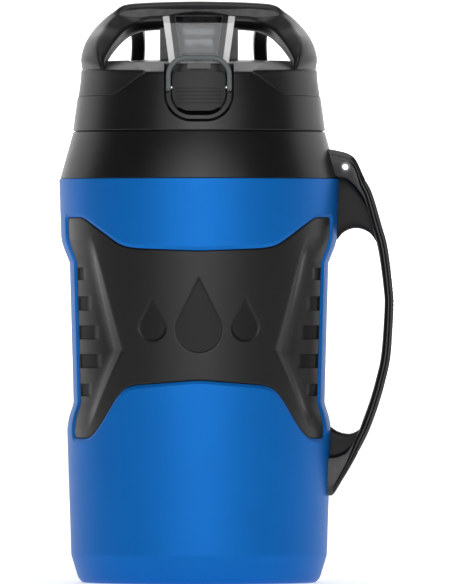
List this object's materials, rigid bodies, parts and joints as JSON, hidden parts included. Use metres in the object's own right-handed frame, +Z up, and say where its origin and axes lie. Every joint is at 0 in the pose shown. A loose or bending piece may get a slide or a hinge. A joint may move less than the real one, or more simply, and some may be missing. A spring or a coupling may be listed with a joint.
{
  "type": "insulated water jug",
  "caption": "Foam-insulated water jug with a screw-on lid, flip spout cover, push-button latch with lock ring, fixed top handle and side grab handle.",
  "frame": {"origin": "centre of the flat base, on the jug's axis", "axes": "+Z up along the jug's axis, -Y the front with the button, +X the side with the grab handle"},
  "size_m": [0.1741, 0.1456, 0.3027],
  "materials": {
    "blue_shell": "satin moulded polypropylene, faint orange-peel",
    "grip_rubber": "matte over-moulded rubber",
    "liner_plastic": "smooth food-safe white",
    "foam": "rigid closed-cell foam",
    "black_plastic": "fine satin texture",
    "soft_black": "soft-touch elastomer",
    "dark_metal": "blackened steel",
    "silicone": "matte silicone",
    "smoke_clear": "glossy smoke-tinted clear plastic",
    "steel": "bright drawn wire and pin",
    "button_grey": "satin dark grey",
    "bezel_grey": "satin mid grey",
    "ring_grey": "satin grey with a cool cast"
  },
  "bodies": {
    "jug": {"outer_shell": "blue_shell", "front_grip": "grip_rubber", "rear_grip": "grip_rubber", "inner_liner": "liner_plastic", "foam_insulation": "foam", "foam_fill_plug": "blue_shell", "shoulder_collar": "black_plastic", "side_handle": "black_plastic", "handle_grip_strip": "soft_black", "handle_eyelet": "dark_metal"},
    "gasket": {"lid_gasket": "silicone"},
    "lid": {"lid_shell": "black_plastic", "lid_liner": "liner_plastic", "lid_foam": "foam", "drink_spout": "smoke_clear", "vent_valve": "silicone", "carry_handle": "soft_black", "carry_handle_core": "black_plastic", "fence_hooks": "black_plastic", "hinge_bracket": "black_plastic", "cover_pin": "steel", "cover_spring": "steel", "button_springs": "steel", "button_bezel": "bezel_grey", "ring_pins": "steel"},
    "cover": {"spout_cover": "smoke_clear", "cover_seal": "silicone"},
    "button": {"push_button": "button_grey"},
    "ring": {"lock_ring": "ring_grey"}
  },
  "joints": [
    {"name": "lid_lift", "type": "slide", "parent": "jug", "child": "gasket", "axis": [0, 0, 1], "range_m": [0, 0.01876]},
    {"name": "lid_turn", "type": "hinge", "parent": "gasket", "child": "lid", "pos_m": [0, 0, 0.24], "axis": [0, 0, 1], "range_deg": [0, 450]},
    {"name": "cover_hinge", "type": "hinge", "parent": "lid", "child": "cover", "pos_m": [0, -0.012, 0.277], "axis": [-1, 0, 0], "range_deg": [0, 75]},
    {"name": "button_press", "type": "slide", "parent": "lid", "child": "button", "axis": [0, 1, 0], "range_m": [0, 0.002], "stiffness_N_per_m": 900, "springref_m": -0.0004, "deforming": ["button_springs"]},
    {"name": "lock_ring_swing", "type": "hinge", "parent": "lid", "child": "ring", "pos_m": [0, -0.0608, 0.2566], "axis": [1, 0, 0], "range_deg": [0, 140]}
  ],
  "couplings": [
    {"joint": "lid_lift", "follows": "lid_turn", "m_per_rad": 0.0023873}
  ]
}
